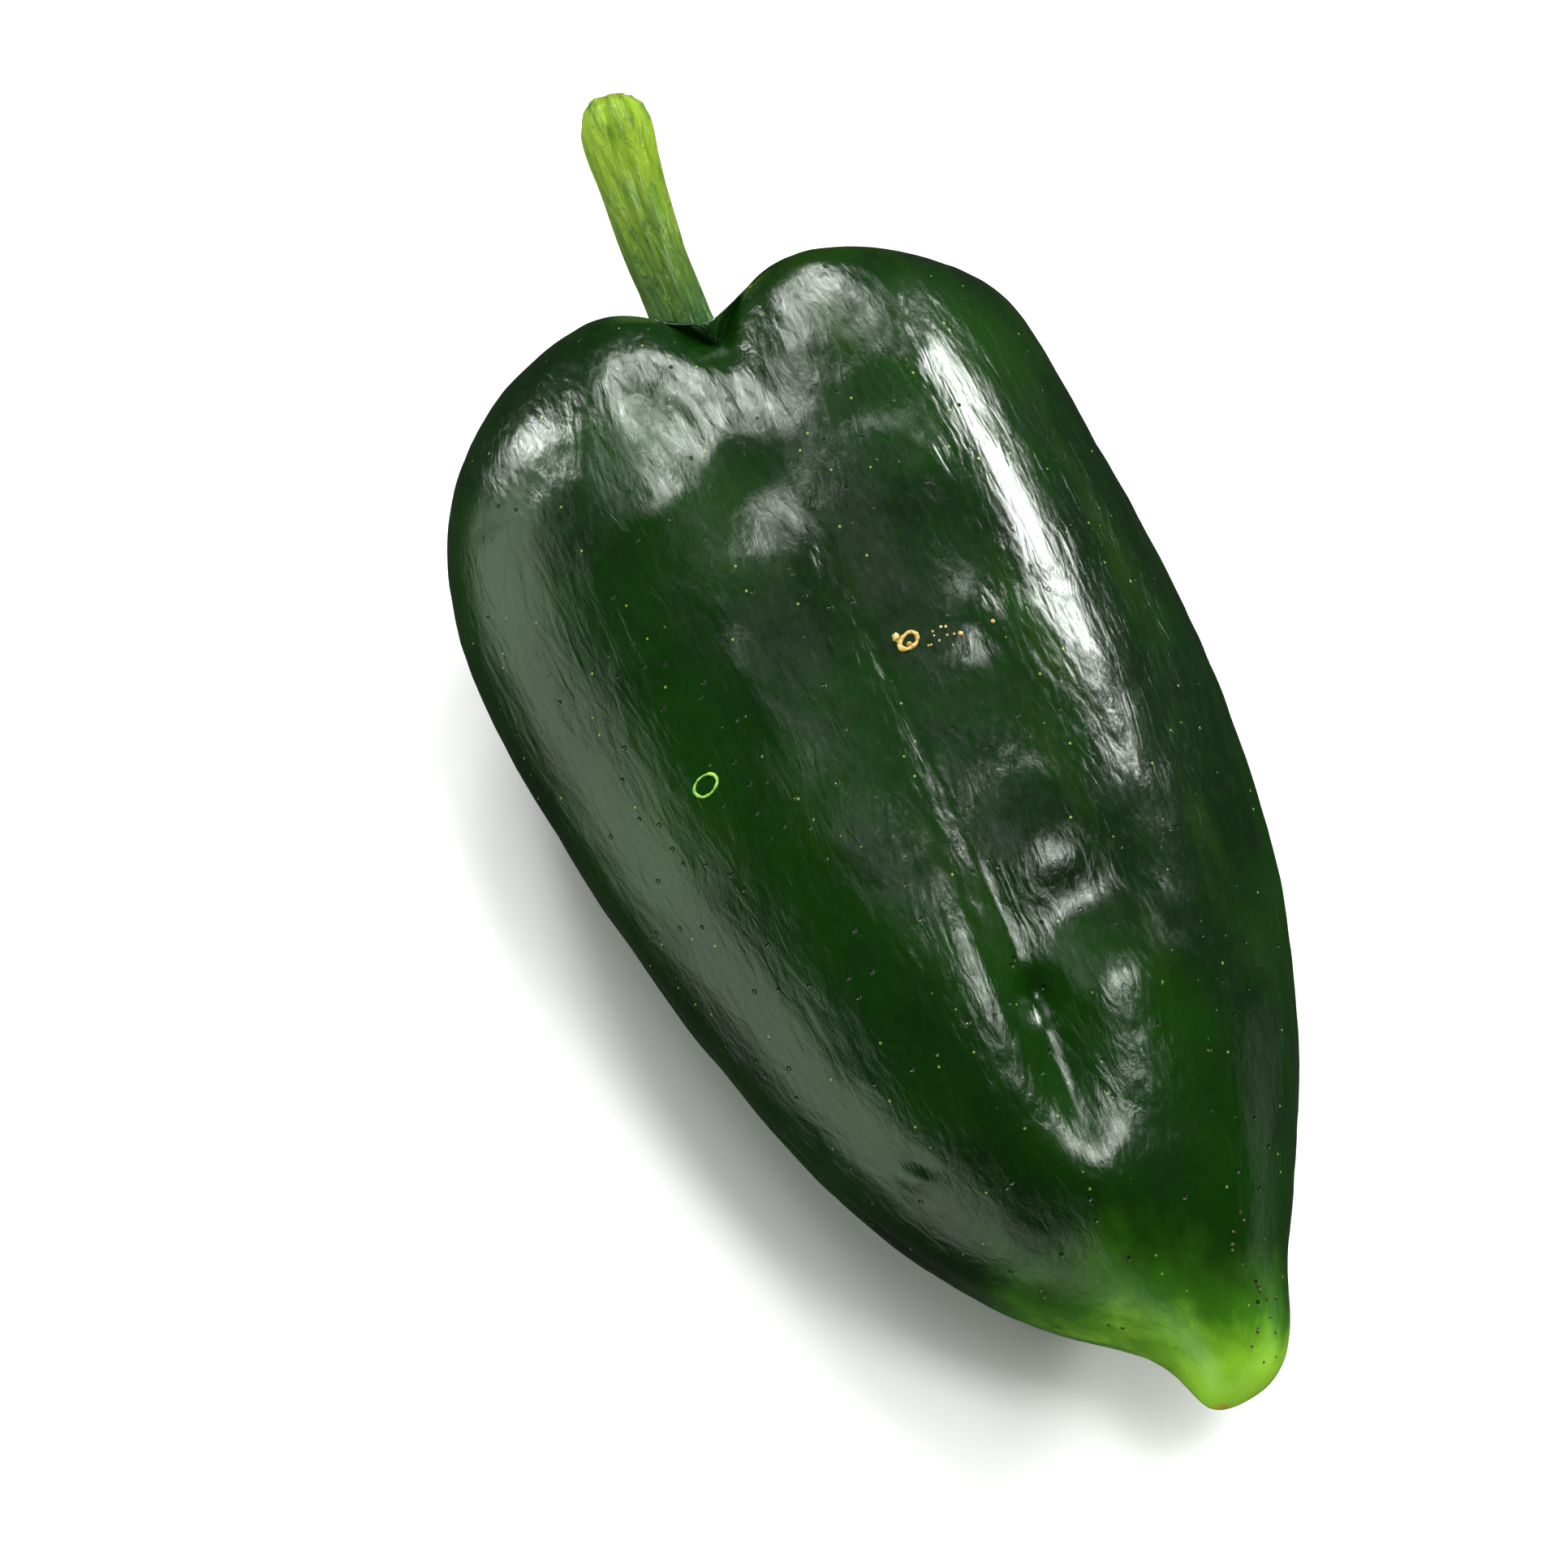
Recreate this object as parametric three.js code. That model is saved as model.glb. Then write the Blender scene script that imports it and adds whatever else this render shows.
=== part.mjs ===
// A poblano pepper lying on its broad back side, in millimetres, +Z up.
// The long axis runs along Y: the stem end is at +Y and the pointed tip at -Y. +X is the
// pepper's right-hand shoulder, seen from above with the stem end away from the viewer.
// Three pieces that grew together: the pod, the calyx in the hollow of its crown, and the stem.

import * as THREE from 'three';

// ---- Driving dimensions ------------------------------------------------------------------

// The pod is a skin over stations that run from the floor of the crown's hollow, up and over
// the shoulders, and down to the tip. Each row: place along Y, core line X and Z, then the
// reach of the skin to the left, right, top and underside of the core line, and how much
// further along Y the left and the top of the ring stand than its right and its underside.
const STATIONS = [
  [43.0, -1.5, 25.5, 0.0, 0.0, 0.0, 0.0, 0.0, 0.0],
  [43.5, -1.5, 25.5, 6.0, 6.0, 6.0, 6.0, 0.0, 0.0],
  [47.4, -1.5, 25.5, 9.0, 9.5, 8.5, 8.5, 1.0, 0.4],
  [56.6, -1.0, 25.5, 12.5, 13.0, 11.0, 11.0, 2.8, 1.0],
  [62.0, -0.2, 25.5, 19.0, 19.4, 15.5, 15.5, 2.9, 1.6],
  [60.3, 0.3, 25.5, 28.0, 27.5, 20.5, 20.5, 1.5, 1.2],
  [53.8, 0.0, 25.5, 34.6, 31.5, 23.8, 23.4, 0.3, 0.4],
  [42.0, 0.0, 25.3, 38.2, 32.9, 25.0, 25.0, 0.0, 0.0],
  [26.0, 0.0, 25.0, 38.0, 33.4, 24.8, 25.4, 0.0, 0.0],
  [8.0, 0.0, 24.5, 35.3, 33.2, 24.0, 25.0, 0.0, 0.0],
  [-9.0, 0.0, 24.0, 31.8, 31.2, 22.5, 24.0, 0.0, 0.0],
  [-25.0, 0.3, 23.2, 27.4, 26.4, 20.0, 21.6, 0.0, 0.0],
  [-38.0, 0.9, 22.2, 21.3, 20.1, 16.5, 17.0, 0.0, 0.0],
  [-47.5, 2.3, 21.2, 14.2, 12.0, 11.8, 11.5, 0.0, 0.0],
  [-52.5, 3.5, 20.4, 7.0, 8.3, 8.4, 7.6, 0.0, 0.0],
  [-57.0, 3.9, 19.8, 5.0, 6.6, 6.6, 6.0, 0.0, 0.0],
  [-60.5, 2.9, 19.4, 3.6, 4.2, 4.2, 4.0, 0.0, 0.0],
  [-61.0, 2.9, 19.4, 0.0, 0.0, 0.0, 0.0, 0.0, 0.0],
];

// Three furrows part the pod's lobes, one row for each station: degrees round the core line
// from +X towards +Z, depth, the width of the flank below and above that turn, and how blunt
// the bottom of the furrow is.
const FRONT_FURROW = [
  [96, 0, 5, 5, 0.05],
  [96, 0, 5, 5, 0.05],
  [96, 2, 3.5, 4.5, 0.03],
  [96, 6, 4, 4.6, 0.01],
  [96, 9.2, 4.6, 5, 0.002],
  [96, 8, 4.8, 5.4, 0.002],
  [96, 4.8, 6, 7, 0.004],
  [94, 2.8, 9, 7, 0.006],
  [93, 2, 10, 5, 0.004],
  [93, 2, 12, 3.5, 0.002],
  [94, 2.6, 11, 2.8, 0.002],
  [96, 3, 9, 2.8, 0.002],
  [100, 1.6, 6, 4, 0.01],
  [103, 0, 6, 6, 0.05],
  [103, 0, 6, 6, 0.05],
  [103, 0, 6, 6, 0.05],
  [103, 0, 6, 6, 0.05],
  [103, 0, 6, 6, 0.05],
];
const LEFT_FURROW = [
  [190, 0, 5, 5, 0.05],
  [190, 0, 5, 5, 0.05],
  [190, 1.5, 5, 5, 0.05],
  [190, 4, 5, 5, 0.05],
  [190, 6, 6, 6, 0.05],
  [189, 4.5, 6, 6, 0.05],
  [187, 2.5, 4, 6, 0.05],
  [185, 1.6, 3, 5, 0.05],
  [184, 1.4, 3, 5, 0.03],
  [184, 1.4, 3, 5, 0.03],
  [184, 1.4, 3, 5, 0.03],
  [184, 1.5, 3, 5, 0.03],
  [183, 1.2, 3, 5, 0.05],
  [183, 0, 5, 6, 0.05],
  [183, 0, 5, 6, 0.05],
  [183, 0, 5, 6, 0.05],
  [183, 0, 5, 6, 0.05],
  [183, 0, 5, 6, 0.05],
];
const RIGHT_FURROW = [
  [-18, 0, 5, 5, 0.05],
  [-18, 0, 5, 5, 0.05],
  [-18, 1.5, 5, 5, 0.05],
  [-18, 4, 5, 5, 0.05],
  [-18, 6, 6, 6, 0.05],
  [-14, 4.5, 6, 6, 0.05],
  [-6, 2.4, 5, 6, 0.05],
  [4, 1.4, 4, 4, 0.03],
  [9, 1.2, 3, 3, 0.01],
  [10, 1.2, 3, 3, 0.01],
  [10, 1.2, 3, 3, 0.01],
  [8, 1, 3, 3, 0.02],
  [4, 0.4, 4, 4, 0.05],
  [0, 0, 6, 5, 0.05],
  [0, 0, 6, 5, 0.05],
  [0, 0, 6, 5, 0.05],
  [0, 0, 6, 5, 0.05],
  [0, 0, 6, 5, 0.05],
];
// The side of the right lobe is flattened: a broad, shallow furrow.
const RIGHT_FLAT = [
  [34, 0, 9, 9, 0.3],
  [34, 0, 9, 9, 0.3],
  [34, 0, 9, 9, 0.3],
  [34, 0, 9, 9, 0.3],
  [34, 0, 9, 9, 0.3],
  [34, 1.2, 11, 10, 0.3],
  [35, 2.2, 12, 11, 0.3],
  [36, 2.8, 13, 12, 0.3],
  [36, 3, 13, 12, 0.3],
  [36, 3, 13, 12, 0.3],
  [36, 2.6, 12, 12, 0.3],
  [36, 1.8, 11, 11, 0.3],
  [36, 0.8, 9, 9, 0.3],
  [36, 0, 9, 9, 0.3],
  [36, 0, 9, 9, 0.3],
  [36, 0, 9, 9, 0.3],
  [36, 0, 9, 9, 0.3],
  [36, 0, 9, 9, 0.3],
];
const FURROWS = [FRONT_FURROW, LEFT_FURROW, RIGHT_FURROW, RIGHT_FLAT];
const FURROW_FALL = 1.4;
const FURROW_POWER = 1.2;

const POD_SIDES = 90;
const RINGS_PER_STATION = 3;

// How far the pod's underside is pressed flat where it lies.
const SEAT_DEPTH = 0.7;

// The calyx is a thin saucer with blunt corners on the floor of the crown's hollow.
const NEIGHBOUR_GAP = 0.3;
const CALYX_THICKNESS = 1.1;
const CALYX_REACH = 1.55;
const CALYX_EDGE_START = 0.97;
const CALYX_CORNERS = 5;
const CALYX_CORNER_DEPTH = 0.1;
const CALYX_SIDES = 40;
const CALYX_RINGS = 6;

// The stem's middle line sets out from the root, runs on, and bends by the square of the way
// gone. The radii: [share of its length, radius], root first.
const STEM_ROOT = new THREE.Vector3(-1.3, 46.3, 25.5);
const STEM_RUN = new THREE.Vector3(-6.3, 43, 6);
const STEM_BEND = new THREE.Vector3(7, 0, 2.4);
const STEM_RADII = [
  [0.0, 4.6],
  [0.1, 3.5],
  [0.25, 3.1],
  [0.5, 3.1],
  [0.75, 3.45],
  [0.93, 3.8],
  [0.97, 3.35],
  [1.0, 2.3],
];
const STEM_RIBS = 5;
const STEM_RIB_HEIGHT = 0.16;
const STEM_SIDES = 20;
const STEM_STEPS = 34;

const SKIN_GREEN = 0x14420f;
const CALYX_GREEN = 0x5f8a2c;
const STEM_GREEN = 0x6f9a2c;

// ---- Shape -------------------------------------------------------------------------------

const LAST_STATION = STATIONS.length - 1;
const REACH_COLUMNS = [3, 4, 5, 6];

// A station beyond a closed end: the ring next to that end, seen through to the other side.
function mirrored(row) {
  return row.map((value, column) => (REACH_COLUMNS.includes(column) ? -value : value));
}

// A cubic B-spline through table rows at station number s, one row for each station.
function blend(rows, s, beyond) {
  const span = Math.min(Math.floor(s), LAST_STATION - 1);
  const t = s - span;
  const weights = [
    (1 - t) ** 3 / 6,
    (3 * t ** 3 - 6 * t ** 2 + 4) / 6,
    (-3 * t ** 3 + 3 * t ** 2 + 3 * t + 1) / 6,
    t ** 3 / 6,
  ];
  const rowAt = (index) => {
    if (index < 0) return beyond(rows[1]);
    if (index > LAST_STATION) return beyond(rows[LAST_STATION - 1]);
    return rows[index];
  };
  return rows[0].map((_, column) =>
    weights.reduce((sum, weight, k) => sum + weight * rowAt(span - 1 + k)[column], 0));
}

// The pod before its furrows: station number s, angle round the core line from +X to +Z.
function plainPoint(s, angle) {
  const [y, coreX, coreZ, left, right, top, under, leanLeft, leanTop] = blend(STATIONS, s, mirrored);
  const across = Math.cos(angle);
  const upward = Math.sin(angle);
  const reachX = (left + right) / 2 + (right - left) / 2 * across;
  const reachZ = (top + under) / 2 + (top - under) / 2 * upward;
  return new THREE.Vector3(
    coreX + reachX * across,
    y - leanLeft * across + leanTop * upward,
    coreZ + reachZ * upward,
  );
}

function plainNormal(s, angle) {
  const step = 1e-3;
  const inside = THREE.MathUtils.clamp(s, 2 * step, LAST_STATION - 2 * step);
  const along = plainPoint(inside + step, angle).sub(plainPoint(inside - step, angle));
  const round = plainPoint(inside, angle + step).sub(plainPoint(inside, angle - step));
  return round.cross(along).normalize();
}

// How deep the furrows cut at a point, from its distance round the skin to each of them.
function furrowDepth(s, angle, radius) {
  let depth = 0;
  for (const furrow of FURROWS) {
    const [turn, deep, widthBelow, widthAbove, blunt] = blend(furrow, s, (row) => row);
    const difference = angle - THREE.MathUtils.degToRad(turn);
    const away = radius * Math.atan2(Math.sin(difference), Math.cos(difference));
    const share = Math.abs(away) / (away < 0 ? widthBelow : widthAbove);
    const rounded = Math.sqrt(share ** 2 + blunt) - Math.sqrt(blunt);
    depth += deep * Math.exp(-FURROW_FALL * rounded ** FURROW_POWER);
  }
  return depth;
}

function podPoint(s, angle) {
  const point = plainPoint(s, angle);
  const [, coreX, coreZ] = blend(STATIONS, s, mirrored);
  const radius = Math.hypot(point.x - coreX, point.z - coreZ);
  return point.addScaledVector(plainNormal(s, angle), -furrowDepth(s, angle, radius));
}

// A closed skin over rings of points, with a single point at either end.
function closedSkin(first, rings, last) {
  const sides = rings[0].length;
  const points = [first, ...rings.flat(), last];
  const end = points.length - 1;
  const faces = [];
  for (let j = 0; j < sides; j += 1) {
    const k = (j + 1) % sides;
    faces.push(0, 1 + k, 1 + j);
    for (let i = 0; i < rings.length - 1; i += 1) {
      const near = 1 + i * sides;
      const far = near + sides;
      faces.push(near + j, near + k, far + k);
      faces.push(near + j, far + k, far + j);
    }
    const lastRing = 1 + (rings.length - 1) * sides;
    faces.push(lastRing + j, lastRing + k, end);
  }
  const geometry = new THREE.BufferGeometry();
  geometry.setAttribute('position', new THREE.Float32BufferAttribute(points.flatMap((p) => p.toArray()), 3));
  geometry.setIndex(faces);
  geometry.computeVertexNormals();
  return geometry;
}

function anglesRound(sides) {
  return Array.from({ length: sides }, (_, j) => 2 * Math.PI * j / sides);
}

// ---- Pieces ------------------------------------------------------------------------------

function podGeometry() {
  const ringCount = LAST_STATION * RINGS_PER_STATION;
  const rings = [];
  for (let i = 1; i < ringCount; i += 1) {
    rings.push(anglesRound(POD_SIDES).map((angle) => podPoint(i / RINGS_PER_STATION, angle)));
  }
  return closedSkin(podPoint(0, 0), rings, podPoint(LAST_STATION, 0));
}

// The saucer's underside follows the hollow's floor a gap away; its upper side lies above it.
function calyxGeometry() {
  const offset = (s, angle, rise) => podPoint(s, angle).addScaledVector(plainNormal(s, angle), rise);
  const ring = (share, rise) => anglesRound(CALYX_SIDES).map((angle) => {
    const corner = 1 - CALYX_CORNER_DEPTH * (1 - Math.cos(CALYX_CORNERS * angle)) / 2;
    return offset(CALYX_REACH * share * corner, angle, rise);
  });
  const top = NEIGHBOUR_GAP + CALYX_THICKNESS;
  const rim = NEIGHBOUR_GAP + CALYX_THICKNESS / 2;
  const shares = Array.from({ length: CALYX_RINGS }, (_, i) => (i + 1) / CALYX_RINGS);
  const upper = shares.map((share) => ring(share * CALYX_EDGE_START, top));
  const under = shares.map((share) => ring(share * CALYX_EDGE_START, NEIGHBOUR_GAP)).reverse();
  return closedSkin(offset(0, 0, top), [...upper, ring(1, rim), ...under], offset(0, 0, NEIGHBOUR_GAP));
}

function radiusAlong(share) {
  const next = STEM_RADII.findIndex(([at]) => at >= share);
  if (next <= 0) return STEM_RADII[0][1];
  const [a, b] = [STEM_RADII[next - 1], STEM_RADII[next]];
  return THREE.MathUtils.lerp(a[1], b[1], THREE.MathUtils.smoothstep(share, a[0], b[0]));
}

function stemGeometry() {
  const middle = (share) => STEM_ROOT.clone()
    .addScaledVector(STEM_RUN, share)
    .addScaledVector(STEM_BEND, share ** 2);
  const sideways = new THREE.Vector3(1, 0, 0);
  const rings = [];
  for (let i = 0; i <= STEM_STEPS; i += 1) {
    const share = i / STEM_STEPS;
    const centre = middle(share);
    const along = STEM_RUN.clone().addScaledVector(STEM_BEND, 2 * share).normalize();
    const downward = new THREE.Vector3().crossVectors(along, sideways).normalize();
    const across = new THREE.Vector3().crossVectors(downward, along);
    rings.push(anglesRound(STEM_SIDES).map((angle) => {
      const radius = radiusAlong(share) + STEM_RIB_HEIGHT * Math.cos(STEM_RIBS * angle);
      return centre.clone()
        .addScaledVector(across, radius * Math.cos(angle))
        .addScaledVector(downward, radius * Math.sin(angle));
    }));
  }
  return closedSkin(middle(0), rings, middle(1));
}

// ---- Assembly ----------------------------------------------------------------------------

function piece(name, geometry, colour, roughness) {
  const material = new THREE.MeshStandardMaterial({ color: colour, roughness, metalness: 0 });
  const mesh = new THREE.Mesh(geometry, material);
  mesh.name = name;
  return mesh;
}

// Lays the pod's underside on the surface and presses its lowest part flat.
function settle(pod, others) {
  pod.computeBoundingBox();
  const drop = pod.boundingBox.min.z + SEAT_DEPTH;
  for (const geometry of [pod, ...others]) geometry.translate(0, 0, -drop);
  const places = pod.getAttribute('position');
  for (let i = 0; i < places.count; i += 1) places.setZ(i, Math.max(places.getZ(i), 0));
}

const podSkin = podGeometry();
const calyxSkin = calyxGeometry();
const stemSkin = stemGeometry();
settle(podSkin, [calyxSkin, stemSkin]);

const pepper = new THREE.Group();
pepper.add(piece('pod', podSkin, SKIN_GREEN, 0.2));
pepper.add(piece('calyx', calyxSkin, CALYX_GREEN, 0.6));
pepper.add(piece('stem', stemSkin, STEM_GREEN, 0.55));

// The origin is the middle of the whole pepper's underside.
const middle = new THREE.Box3().setFromObject(pepper).getCenter(new THREE.Vector3());
pepper.position.set(-middle.x, -middle.y, 0);

export default pepper;
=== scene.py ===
import math
import random

import bpy
import numpy as np
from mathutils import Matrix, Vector


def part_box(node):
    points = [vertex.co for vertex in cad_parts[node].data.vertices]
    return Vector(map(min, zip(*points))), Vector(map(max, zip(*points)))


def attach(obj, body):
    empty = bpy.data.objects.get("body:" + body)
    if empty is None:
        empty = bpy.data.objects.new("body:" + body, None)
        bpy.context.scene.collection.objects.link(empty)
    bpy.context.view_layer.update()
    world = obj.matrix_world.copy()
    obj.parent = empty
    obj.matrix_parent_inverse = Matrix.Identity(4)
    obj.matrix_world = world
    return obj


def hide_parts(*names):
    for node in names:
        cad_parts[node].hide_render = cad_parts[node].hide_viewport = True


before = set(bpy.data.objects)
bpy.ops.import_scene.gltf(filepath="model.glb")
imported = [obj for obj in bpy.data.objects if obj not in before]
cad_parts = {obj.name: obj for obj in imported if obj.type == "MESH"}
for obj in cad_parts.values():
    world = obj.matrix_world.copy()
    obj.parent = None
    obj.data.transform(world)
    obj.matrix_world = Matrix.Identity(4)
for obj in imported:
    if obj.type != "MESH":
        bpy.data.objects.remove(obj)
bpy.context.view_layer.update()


# ---- The pod -----------------------------------------------------------------------------
# The fruit itself: one grown body with a tough waxy skin, dark green and glossy, that tapers
# from two broad shoulders to a blunt lime-green tip. Three furrows part its lobes, and it
# lies on its flat back lobe, pressed level where it rests.

MM = 0.001
LEFT_REACH = 37.72
TIP_REACH = 60.77
pod_low, pod_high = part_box("pod")
# The pepper's own zero: on the table under its core line, a tip's reach from the tip.
HOME = Vector((pod_low[0] + LEFT_REACH * MM, pod_low[1] + TIP_REACH * MM, 0.0))

# From the floor of the crown's hollow over the shoulders to the tip, in millimetres: place
# along Y, core line X and Z, reach to the left, right, top and underside, and how much
# further along Y the left and the top of each ring stand.
STATIONS = (
    (43.0, -1.5, 25.5, 0.0, 0.0, 0.0, 0.0, 0.0, 0.0),
    (43.5, -1.5, 25.5, 6.0, 6.0, 6.0, 6.0, 0.0, 0.0),
    (47.4, -1.5, 25.5, 9.0, 9.5, 8.5, 8.5, 1.0, 0.4),
    (56.6, -1.0, 25.5, 12.5, 13.0, 11.0, 11.0, 2.8, 1.0),
    (62.0, -0.2, 25.5, 19.0, 19.4, 15.5, 15.5, 2.9, 1.6),
    (60.3, 0.3, 25.5, 28.0, 27.5, 20.5, 20.5, 1.5, 1.2),
    (53.8, 0.0, 25.5, 34.6, 31.5, 23.8, 23.4, 0.3, 0.4),
    (42.0, 0.0, 25.3, 38.2, 32.9, 25.0, 25.0, 0.0, 0.0),
    (26.0, 0.0, 25.0, 38.0, 33.4, 24.8, 25.4, 0.0, 0.0),
    (8.0, 0.0, 24.5, 35.3, 33.2, 24.0, 25.0, 0.0, 0.0),
    (-9.0, 0.0, 24.0, 31.8, 31.2, 22.5, 24.0, 0.0, 0.0),
    (-25.0, 0.3, 23.2, 27.4, 26.4, 20.0, 21.6, 0.0, 0.0),
    (-38.0, 0.9, 22.2, 21.3, 20.1, 16.5, 17.0, 0.0, 0.0),
    (-47.5, 2.3, 21.2, 14.2, 12.0, 11.8, 11.5, 0.0, 0.0),
    (-52.5, 3.5, 20.4, 7.0, 8.3, 8.4, 7.6, 0.0, 0.0),
    (-57.0, 3.9, 19.8, 5.0, 6.6, 6.6, 6.0, 0.0, 0.0),
    (-60.5, 2.9, 19.4, 3.6, 4.2, 4.2, 4.0, 0.0, 0.0),
    (-61.0, 2.9, 19.4, 0.0, 0.0, 0.0, 0.0, 0.0, 0.0),
)
REACHES = slice(3, 7)
LAST_STATION = len(STATIONS) - 1


def blend(rows, s, closed_ends=False):
    """A cubic B-spline through table rows, read at station numbers s."""
    table = np.array(rows, float)
    before, after = table[1].copy(), table[-2].copy()
    if closed_ends:
        before[REACHES] *= -1
        after[REACHES] *= -1
    table = np.vstack([before, table, after])
    s = np.clip(s, 0, LAST_STATION - 1e-9)
    span = np.floor(s).astype(int)
    t = (s - span)[..., None]
    return (
        (1 - t) ** 3 * table[span]
        + (3 * t**3 - 6 * t**2 + 4) * table[span + 1]
        + (-3 * t**3 + 3 * t**2 + 3 * t + 1) * table[span + 2]
        + t**3 * table[span + 3]
    ) / 6


def plain_skin(s, angle):
    """The pod before its furrows: the angle goes round the core line from +X to +Z."""
    y, core_x, core_z, left, right, top, under, lean_left, lean_top = np.moveaxis(
        blend(STATIONS, s, closed_ends=True), -1, 0
    )
    across, upward = np.cos(angle), np.sin(angle)
    reach_x = (left + right) / 2 + (right - left) / 2 * across
    reach_z = (top + under) / 2 + (top - under) / 2 * upward
    return np.stack(
        [
            core_x + reach_x * across,
            y - lean_left * across + lean_top * upward,
            core_z + reach_z * upward,
        ],
        -1,
    )


def outward(s, angle):
    """The plain skin's outward direction."""
    step = 1e-3
    s = np.clip(s, 2 * step, LAST_STATION - 2 * step)
    along = plain_skin(s + step, angle) - plain_skin(s - step, angle)
    around = plain_skin(s, angle + step) - plain_skin(s, angle - step)
    normal = np.cross(around, along)
    return normal / np.linalg.norm(normal, axis=-1, keepdims=True)


# A furrow's row at each station: degrees round the core line, depth, the width of the flank on
# its clockwise and counter-clockwise side, and how blunt its bottom is.
FRONT_FURROW = (
    (96, 0, 5, 5, 0.05),
    (96, 0, 5, 5, 0.05),
    (96, 2.0, 3.5, 4.5, 0.03),
    (96, 6.0, 4, 4.6, 0.01),
    (96, 9.2, 4.6, 5.0, 0.002),
    (96, 8.0, 4.8, 5.4, 0.002),
    (96, 4.8, 6, 7, 0.004),
    (94, 2.8, 9, 7, 0.006),
    (93, 2.0, 10, 5, 0.004),
    (93, 2.0, 12, 3.5, 0.002),
    (94, 2.6, 11, 2.8, 0.002),
    (96, 3.0, 9, 2.8, 0.002),
    (100, 1.6, 6, 4, 0.01),
    (103, 0, 6, 6, 0.05),
    (103, 0, 6, 6, 0.05),
    (103, 0, 6, 6, 0.05),
    (103, 0, 6, 6, 0.05),
    (103, 0, 6, 6, 0.05),
)
LEFT_FURROW = (
    (190, 0, 5, 5, 0.05),
    (190, 0, 5, 5, 0.05),
    (190, 1.5, 5, 5, 0.05),
    (190, 4, 5, 5, 0.05),
    (190, 6, 6, 6, 0.05),
    (189, 4.5, 6, 6, 0.05),
    (187, 2.5, 4, 6, 0.05),
    (185, 1.6, 3, 5, 0.05),
    (184, 1.4, 3, 5, 0.03),
    (184, 1.4, 3, 5, 0.03),
    (184, 1.4, 3, 5, 0.03),
    (184, 1.5, 3, 5, 0.03),
    (183, 1.2, 3, 5, 0.05),
    (183, 0, 5, 6, 0.05),
    (183, 0, 5, 6, 0.05),
    (183, 0, 5, 6, 0.05),
    (183, 0, 5, 6, 0.05),
    (183, 0, 5, 6, 0.05),
)
RIGHT_FURROW = (
    (-18, 0, 5, 5, 0.05),
    (-18, 0, 5, 5, 0.05),
    (-18, 1.5, 5, 5, 0.05),
    (-18, 4, 5, 5, 0.05),
    (-18, 6, 6, 6, 0.05),
    (-14, 4.5, 6, 6, 0.05),
    (-6, 2.4, 5, 6, 0.05),
    (4, 1.4, 4, 4, 0.03),
    (9, 1.2, 3, 3, 0.01),
    (10, 1.2, 3, 3, 0.01),
    (10, 1.2, 3, 3, 0.01),
    (8, 1.0, 3, 3, 0.02),
    (4, 0.4, 4, 4, 0.05),
    (0, 0, 6, 5, 0.05),
    (0, 0, 6, 5, 0.05),
    (0, 0, 6, 5, 0.05),
    (0, 0, 6, 5, 0.05),
    (0, 0, 6, 5, 0.05),
)
# The side of the right lobe is flattened: a broad, shallow furrow.
RIGHT_FLAT = (
    (34, 0, 9, 9, 0.3),
    (34, 0, 9, 9, 0.3),
    (34, 0, 9, 9, 0.3),
    (34, 0, 9, 9, 0.3),
    (34, 0, 9, 9, 0.3),
    (34, 1.2, 11, 10, 0.3),
    (35, 2.2, 12, 11, 0.3),
    (36, 2.8, 13, 12, 0.3),
    (36, 3.0, 13, 12, 0.3),
    (36, 3.0, 13, 12, 0.3),
    (36, 2.6, 12, 12, 0.3),
    (36, 1.8, 11, 11, 0.3),
    (36, 0.8, 9, 9, 0.3),
    (36, 0, 9, 9, 0.3),
    (36, 0, 9, 9, 0.3),
    (36, 0, 9, 9, 0.3),
    (36, 0, 9, 9, 0.3),
    (36, 0, 9, 9, 0.3),
)
FURROW_FALL = 1.4
FURROW_POWER = 1.2


def furrows(s, angle, radius):
    """How deep the furrows cut."""
    depth = np.zeros_like(radius)
    for furrow in (FRONT_FURROW, LEFT_FURROW, RIGHT_FURROW, RIGHT_FLAT):
        turn, deep, clockwise, counter, blunt = np.moveaxis(blend(furrow, s), -1, 0)
        away = radius * ((angle - np.radians(turn) + math.pi) % (2 * math.pi) - math.pi)
        share = np.abs(away) / np.where(away < 0, clockwise, counter)
        rounded = np.sqrt(share**2 + blunt) - np.sqrt(blunt)
        depth += deep * np.exp(-FURROW_FALL * rounded**FURROW_POWER)
    return depth


# Soft bumps and hollows on the upper side, in millimetres: x, y, height, half-width,
# half-length, and the degrees that the bump is turned.
TOP_SIDE = 26.0
SWELLINGS = (
    (-6.5, 27, 0.5, 4.5, 3.5, 0),
    (-6.5, 35.5, -0.5, 5, 3, 20),
    (-15, 17.5, 0.8, 2.5, 5, 0),
    (7, 15, 0.9, 3, 3.5, 0),
    (9, 25, -0.5, 4, 4.5, 0),
    (-7.5, 42, 0.5, 3, 3, 0),
    (-11.5, 47, -0.9, 2, 5.5, 10),
    (-16.5, 37, 0.5, 4, 3.5, 0),
    (10.5, 32, 0.5, 2, 2.5, 0),
    (7.5, 40, -0.3, 4.5, 3, 0),
    (5, -9, 0.5, 6, 4.5, 0),
    (7, -23.5, 0.7, 7, 4.5, 15),
    (4.5, -16, -0.4, 6, 3.5, 15),
    (-5, -16, 0.35, 3, 8, 0),
    (-2, -22, -1.1, 2, 2, 0),
    (-3, -39.5, 1.4, 4, 5.5, 0),
    (-18.5, -30.5, -0.4, 1.5, 0.5, -35),
    (-19, -31.5, 0.3, 1.5, 0.5, -35),
    (-26, -24.5, -0.3, 0.5, 1.5, 0),
)


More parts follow.
